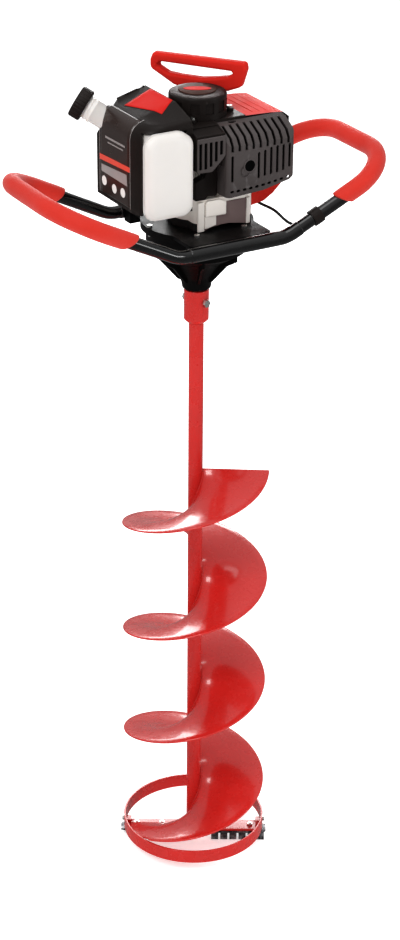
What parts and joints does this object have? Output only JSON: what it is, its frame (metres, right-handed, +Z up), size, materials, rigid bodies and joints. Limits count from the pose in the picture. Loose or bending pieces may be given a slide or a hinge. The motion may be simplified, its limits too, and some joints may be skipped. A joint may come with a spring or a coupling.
{
  "type": "ice fishing auger",
  "caption": "Hand-held petrol ice auger: helical bit with guide ring and serrated blades, gear case, engine with pull starter, and looped handlebar.",
  "frame": {"origin": "on the drill axis, in the plane the blade teeth stand on", "axes": "+Z up along the drill axis, +X to the operator's right along the handlebar's long side, -Y to the side of the fuel tank's flat end and the muffler guard"},
  "size_m": [0.635, 0.2796, 1.4615],
  "materials": {
    "red_paint": "gloss red powder coat",
    "black_paint": "gloss black paint",
    "black_cast": "cast aluminium under satin black paint",
    "steel": "machined steel",
    "zinc_bolts": "zinc plated",
    "blade_steel": "blackened blade steel",
    "bearing_steel": "polished",
    "aluminium": "die-cast aluminium",
    "cast_iron": "cast",
    "black_plastic": "moulded, satin",
    "dark_plastic": "moulded, fine texture",
    "red_plastic": "moulded, semi-gloss",
    "tank_plastic": "translucent natural",
    "foam": "closed-cell foam",
    "rubber": "moulded rubber",
    "cord": "braided cord",
    "ceramic": "glazed ceramic"
  },
  "bodies": {
    "powerhead": {"gear_case": "black_cast", "case_cover": "black_cast", "gearbox_bearings": "bearing_steel", "output_seal": "rubber", "clutch_housing": "aluminium", "crankcase": "aluminium", "crank_bearings": "bearing_steel", "cylinder": "aluminium", "spark_plug": "ceramic", "plug_boot": "rubber", "ignition_coil": "black_plastic", "muffler": "steel", "muffler_guard": "dark_plastic", "engine_cover": "red_plastic", "carburettor": "aluminium", "air_filter": "black_plastic", "fan_shroud": "black_plastic", "recoil_housing": "black_plastic", "recoil_spring": "steel", "tank_cover": "black_plastic", "fuel_tank": "tank_plastic", "fuel_line": "rubber", "handlebar": "black_paint", "grips": "foam", "lever_clamp": "black_plastic", "throttle_cable": "rubber", "frame_screws": "zinc_bolts"},
    "auger": {"flighting": "red_paint", "shaft_tube": "red_paint", "guide_ring": "red_paint", "blade_arms": "red_paint", "cutting_blades": "blade_steel", "auger_screws": "zinc_bolts", "drive_collar": "red_paint", "collar_bolt": "zinc_bolts", "output_shaft": "steel", "output_gear": "steel"},
    "countershaft": {"counter_shaft": "steel", "counter_gear": "steel"},
    "clutch_bell": {"input_pinion": "steel", "clutch_drum": "steel"},
    "crank": {"crankshaft": "steel", "flywheel": "aluminium", "clutch_hub": "steel"},
    "shoe_a": {"clutch_shoe_a": "cast_iron"},
    "shoe_b": {"clutch_shoe_b": "cast_iron"},
    "piston_set": {"piston": "aluminium", "piston_rings": "cast_iron", "engine_pins": "steel", "connecting_rod": "steel"},
    "reel": {"recoil_reel": "black_plastic"},
    "pull_handle": {"recoil_handle": "red_plastic", "starter_rope": "cord"},
    "cap_liner_body": {"cap_liner": "rubber"},
    "cap": {"fuel_cap": "black_plastic"},
    "lever": {"throttle_lever": "black_plastic"},
    "carb_arm": {"throttle_arm": "steel"},
    "choke": {"choke_lever": "red_plastic"},
    "primer": {"primer_bulb": "rubber"},
    "switch": {"stop_switch": "red_plastic"}
  },
  "joints": [
    {"name": "auger_spin", "type": "hinge", "parent": "powerhead", "child": "auger", "pos_m": [0, 0, 1], "axis": [0, 0, 1], "continuous": true},
    {"name": "countershaft_spin", "type": "hinge", "parent": "powerhead", "child": "countershaft", "pos_m": [0, 0.0396, 1.17], "axis": [0, 0, 1], "continuous": true},
    {"name": "clutch_bell_spin", "type": "hinge", "parent": "powerhead", "child": "clutch_bell", "pos_m": [0, 0, 1.2], "axis": [0, 0, 1], "continuous": true},
    {"name": "crank_spin", "type": "hinge", "parent": "powerhead", "child": "crank", "pos_m": [0, 0, 1.3], "axis": [0, 0, 1], "continuous": true},
    {"name": "shoe_a_out", "type": "slide", "parent": "crank", "child": "shoe_a", "axis": [0, 1, 0], "range_m": [0, 0.001]},
    {"name": "shoe_b_out", "type": "slide", "parent": "crank", "child": "shoe_b", "axis": [0, -1, 0], "range_m": [0, 0.001]},
    {"name": "piston_stroke", "type": "slide", "parent": "powerhead", "child": "piston_set", "axis": [-1, 0, 0], "range_m": [0, 0.033]},
    {"name": "starter_pull", "type": "slide", "parent": "powerhead", "child": "pull_handle", "axis": [0, 0, 1], "range_m": [0, 0.75], "deforming": ["starter_rope"]},
    {"name": "reel_spin", "type": "hinge", "parent": "powerhead", "child": "reel", "pos_m": [0, 0, 1.4], "axis": [0, 0, 1], "range_deg": [-1, 1440]},
    {"name": "cap_lift", "type": "slide", "parent": "powerhead", "child": "cap_liner_body", "axis": [-0.6598, 0.5698, 0.4899], "range_m": [0, 0.024]},
    {"name": "cap_turn", "type": "hinge", "parent": "cap_liner_body", "child": "cap", "pos_m": [-0.112, 0.062, 1.363], "axis": [-0.6598, 0.5698, 0.4899], "range_deg": [-1, 2161]},
    {"name": "throttle_squeeze", "type": "hinge", "parent": "powerhead", "child": "lever", "pos_m": [0.15845, -0.10202, 1.21293], "axis": [0.3835, -0.4421, -0.8108], "range_deg": [0, 14]},
    {"name": "throttle_arm_turn", "type": "hinge", "parent": "powerhead", "child": "carb_arm", "pos_m": [0.071, 0.054, 1.3235], "axis": [0, 0, 1], "range_deg": [0, 56]},
    {"name": "choke_swing", "type": "hinge", "parent": "powerhead", "child": "choke", "pos_m": [0.103, 0.088, 1.29], "axis": [-1, 0, 0], "range_deg": [0, 60]},
    {"name": "primer_press", "type": "slide", "parent": "powerhead", "child": "primer", "axis": [0, -1, 0], "range_m": [0, 0.005]},
    {"name": "stop_switch_rock", "type": "hinge", "parent": "powerhead", "child": "switch", "pos_m": [-0.03, 0.0665, 1.36], "axis": [1, 0, 0], "range_deg": [-8, 8]}
  ],
  "couplings": [
    {"joint": "countershaft_spin", "follows": "auger_spin", "ratio": -5.5455},
    {"joint": "clutch_bell_spin", "follows": "auger_spin", "ratio": 30.752},
    {"joint": "shoe_b_out", "follows": "shoe_a_out", "ratio": 1},
    {"joint": "reel_spin", "follows": "starter_pull", "rad_per_m": 33.333},
    {"joint": "cap_turn", "follows": "cap_lift", "rad_per_m": 1570.8},
    {"joint": "throttle_arm_turn", "follows": "throttle_squeeze", "ratio": 4}
  ]
}
